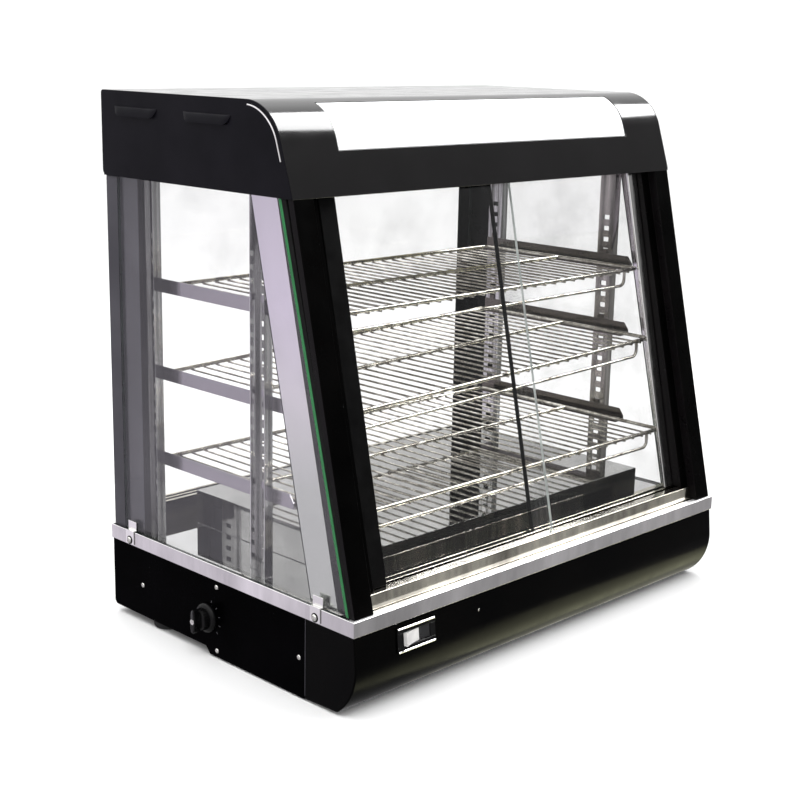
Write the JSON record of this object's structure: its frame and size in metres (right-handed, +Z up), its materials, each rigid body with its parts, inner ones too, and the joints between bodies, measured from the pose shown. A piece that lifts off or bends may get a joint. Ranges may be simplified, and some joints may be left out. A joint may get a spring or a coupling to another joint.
{
  "type": "food holding cabinet",
  "caption": "Countertop heated display cabinet: sloping sliding glass doors, wire shelves on slotted uprights, black hood with light panel, and a base with thermostat knob and rocker switch.",
  "frame": {"origin": "on the counter, under the middle of the overall box, from the knob to the right-hand clips and from the switch to the plug", "axes": "+X to the right of someone facing the front doors, -Y towards the front, +Z up"},
  "size_m": [0.6852, 0.4722, 0.6395],
  "materials": {
    "black_paint": "gloss black powder coat on sheet steel",
    "stainless": "bright finely brushed stainless sheet",
    "track_aluminium": "bright extruded aluminium",
    "mirror_steel": "mirror-polished stainless sheet",
    "dark_steel": "heat-darkened steel",
    "chrome_wire": "bright-plated wire",
    "glass": "clear tempered glass with green edges",
    "black_plastic": "satin black moulded plastic",
    "rubber": "matte black rubber",
    "sign_white": "opal white translucent sheet",
    "lamp_glass": "frosted white lamp glass with metal end caps",
    "switch_grey": "satin light grey moulded plastic"
  },
  "bodies": {
    "cabinet": {"front_fascia": "black_paint", "base_side_left": "black_paint", "base_side_right": "black_paint", "base_back": "black_paint", "bottom_plate": "black_paint", "front_post_left": "black_paint", "front_post_right": "black_paint", "rear_post_left": "black_paint", "rear_post_right": "black_paint", "hood_side_left": "black_paint", "hood_side_right": "black_paint", "hood_cover": "black_paint", "trim_band": "stainless", "water_tray": "stainless", "front_trim_left": "stainless", "front_trim_right": "stainless", "glass_clip_front_left": "stainless", "glass_clip_front_right": "stainless", "glass_clip_rear_left": "stainless", "glass_clip_rear_right": "stainless", "upright_front_left": "stainless", "upright_front_right": "stainless", "upright_rear_left": "stainless", "upright_rear_right": "stainless", "shelf_bracket_top_left": "stainless", "shelf_bracket_top_right": "stainless", "shelf_bracket_middle_left": "stainless", "shelf_bracket_middle_right": "stainless", "shelf_bracket_bottom_left": "stainless", "shelf_bracket_bottom_right": "stainless", "front_sill": "track_aluminium", "rear_sill": "track_aluminium", "hood_ceiling": "track_aluminium", "chamber_floor": "mirror_steel", "heat_deck": "mirror_steel", "heating_element": "dark_steel", "thermostat_body": "dark_steel", "wire_shelf_top": "chrome_wire", "wire_shelf_middle": "chrome_wire", "wire_shelf_bottom": "chrome_wire", "side_glass_left": "glass", "side_glass_right": "glass", "rocker_bezel": "black_plastic", "power_cord": "black_plastic", "foot_front_left": "rubber", "foot_front_right": "rubber", "foot_rear_left": "rubber", "foot_rear_right": "rubber", "sign_panel": "sign_white", "lamp_tube": "lamp_glass"},
    "front_door_left": {"front_door_glass_left": "glass", "front_door_pull_left": "black_plastic"},
    "front_door_right": {"front_door_glass_right": "glass", "front_door_pull_right": "track_aluminium"},
    "rear_door_left": {"rear_door_glass_left": "glass", "rear_door_pull_left": "black_plastic"},
    "rear_door_right": {"rear_door_glass_right": "glass", "rear_door_pull_right": "black_plastic"},
    "knob": {"thermostat_knob": "black_plastic"},
    "rocker": {"rocker_button": "switch_grey"}
  },
  "joints": [
    {"name": "front_door_left_slide", "type": "slide", "parent": "cabinet", "child": "front_door_left", "axis": [1, 0, 0], "range_m": [0, 0.255]},
    {"name": "front_door_right_slide", "type": "slide", "parent": "cabinet", "child": "front_door_right", "axis": [-1, 0, 0], "range_m": [0, 0.28]},
    {"name": "rear_door_left_slide", "type": "slide", "parent": "cabinet", "child": "rear_door_left", "axis": [1, 0, 0], "range_m": [0, 0.285]},
    {"name": "rear_door_right_slide", "type": "slide", "parent": "cabinet", "child": "rear_door_right", "axis": [-1, 0, 0], "range_m": [0, 0.285]},
    {"name": "thermostat_knob_turn", "type": "hinge", "parent": "cabinet", "child": "knob", "pos_m": [-0.3211, 0.01908, 0.046], "axis": [1, 0, 0], "range_deg": [0, 270]},
    {"name": "rocker_tip", "type": "hinge", "parent": "cabinet", "child": "rocker", "pos_m": [-0.2298, -0.22638, 0.07571], "axis": [0, -0.0968, -0.9953], "range_deg": [0, 16]}
  ]
}
